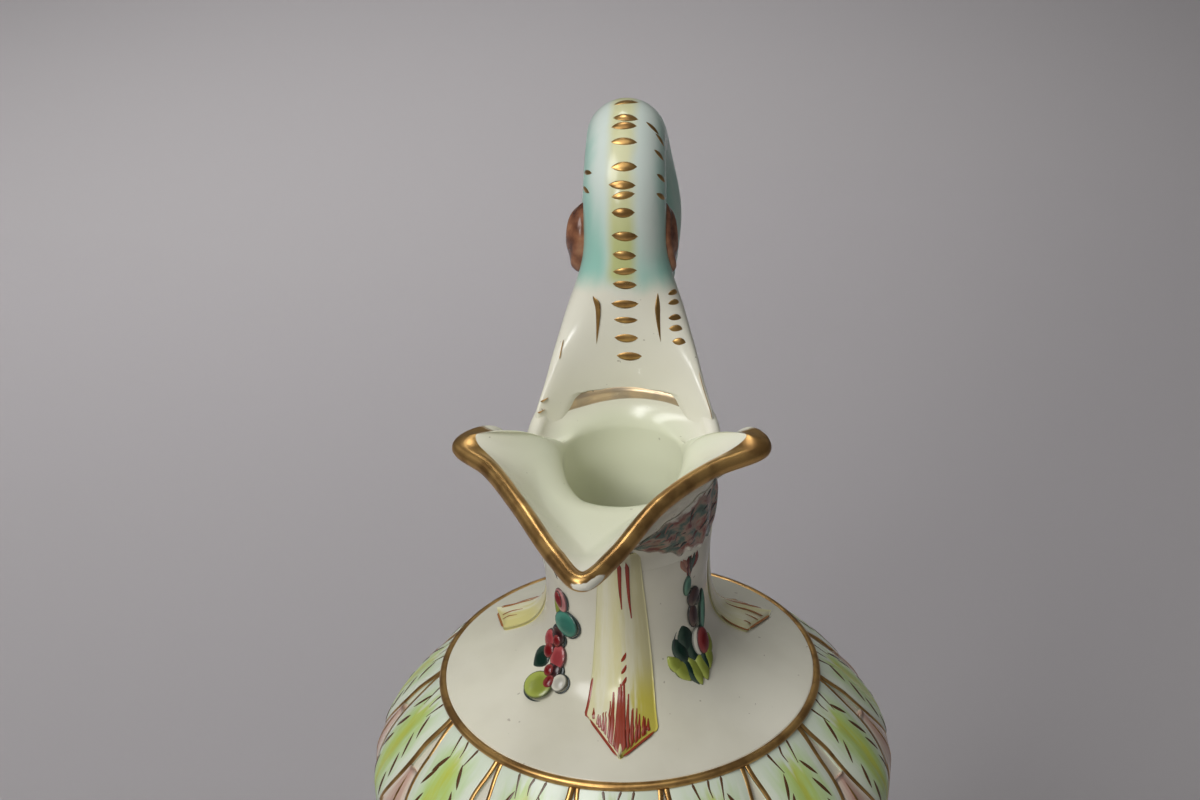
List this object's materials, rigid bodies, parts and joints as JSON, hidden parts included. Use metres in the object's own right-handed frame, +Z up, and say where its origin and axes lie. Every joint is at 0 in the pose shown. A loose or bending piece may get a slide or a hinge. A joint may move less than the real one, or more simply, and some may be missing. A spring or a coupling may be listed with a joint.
{
  "type": "jug",
  "caption": "Footed porcelain ewer jug with a pinched pouring lip, a high looped handle, a flat collar and applied leaf, garland and fruit relief, for holding and pouring a drink.",
  "frame": {"origin": "on the table, in the middle of the box round the jug, which is within about a millimetre of the foot's axis", "axes": "+Z up along the jug's axis, the lip pours towards -Y, the handle is towards +Y, +X is to the right seen from the lip"},
  "size_m": [0.1264, 0.1285, 0.33],
  "materials": {
    "porcelain": "glossy ivory glaze over white porcelain, gilded edges",
    "handle_glaze": "glossy sea-green and ivory glaze with a yellow stripe",
    "leaf_paint": "glossy painted green with brown-gold lines",
    "bract_paint": "glossy painted mauve pink with brown-gold lines",
    "pendant_paint": "glossy painted yellow with red-brown strokes",
    "scroll_paint": "glossy painted brown",
    "garland_paint": "glossy painted red, teal and brown",
    "fruit_paint": "glossy painted red, pink, teal and green"
  },
  "bodies": {
    "root": {"body": "porcelain", "foot": "porcelain", "neck": "porcelain", "mouth": "porcelain", "handle": "handle_glaze", "shoulder_leaf_01": "leaf_paint", "shoulder_leaf_02": "leaf_paint", "shoulder_leaf_03": "leaf_paint", "shoulder_leaf_04": "leaf_paint", "shoulder_leaf_05": "leaf_paint", "shoulder_leaf_06": "leaf_paint", "shoulder_leaf_07": "leaf_paint", "shoulder_leaf_08": "leaf_paint", "shoulder_leaf_09": "leaf_paint", "shoulder_leaf_10": "leaf_paint", "shoulder_leaf_11": "leaf_paint", "shoulder_leaf_12": "leaf_paint", "shoulder_leaf_13": "leaf_paint", "shoulder_leaf_14": "leaf_paint", "shoulder_bract_01": "bract_paint", "shoulder_bract_02": "bract_paint", "shoulder_bract_03": "bract_paint", "shoulder_bract_04": "bract_paint", "shoulder_bract_05": "bract_paint", "shoulder_bract_06": "bract_paint", "shoulder_bract_07": "bract_paint", "shoulder_bract_08": "bract_paint", "shoulder_bract_09": "bract_paint", "shoulder_bract_10": "bract_paint", "shoulder_bract_11": "bract_paint", "shoulder_bract_12": "bract_paint", "shoulder_bract_13": "bract_paint", "shoulder_bract_14": "bract_paint", "pendant_leaf_front": "pendant_paint", "pendant_leaf_right": "pendant_paint", "pendant_leaf_left": "pendant_paint", "handle_scroll_left": "scroll_paint", "handle_scroll_right": "scroll_paint", "garland_right": "garland_paint", "garland_left": "garland_paint", "fruit_drop_right": "fruit_paint", "fruit_drop_left": "fruit_paint"}
  },
  "joints": []
}
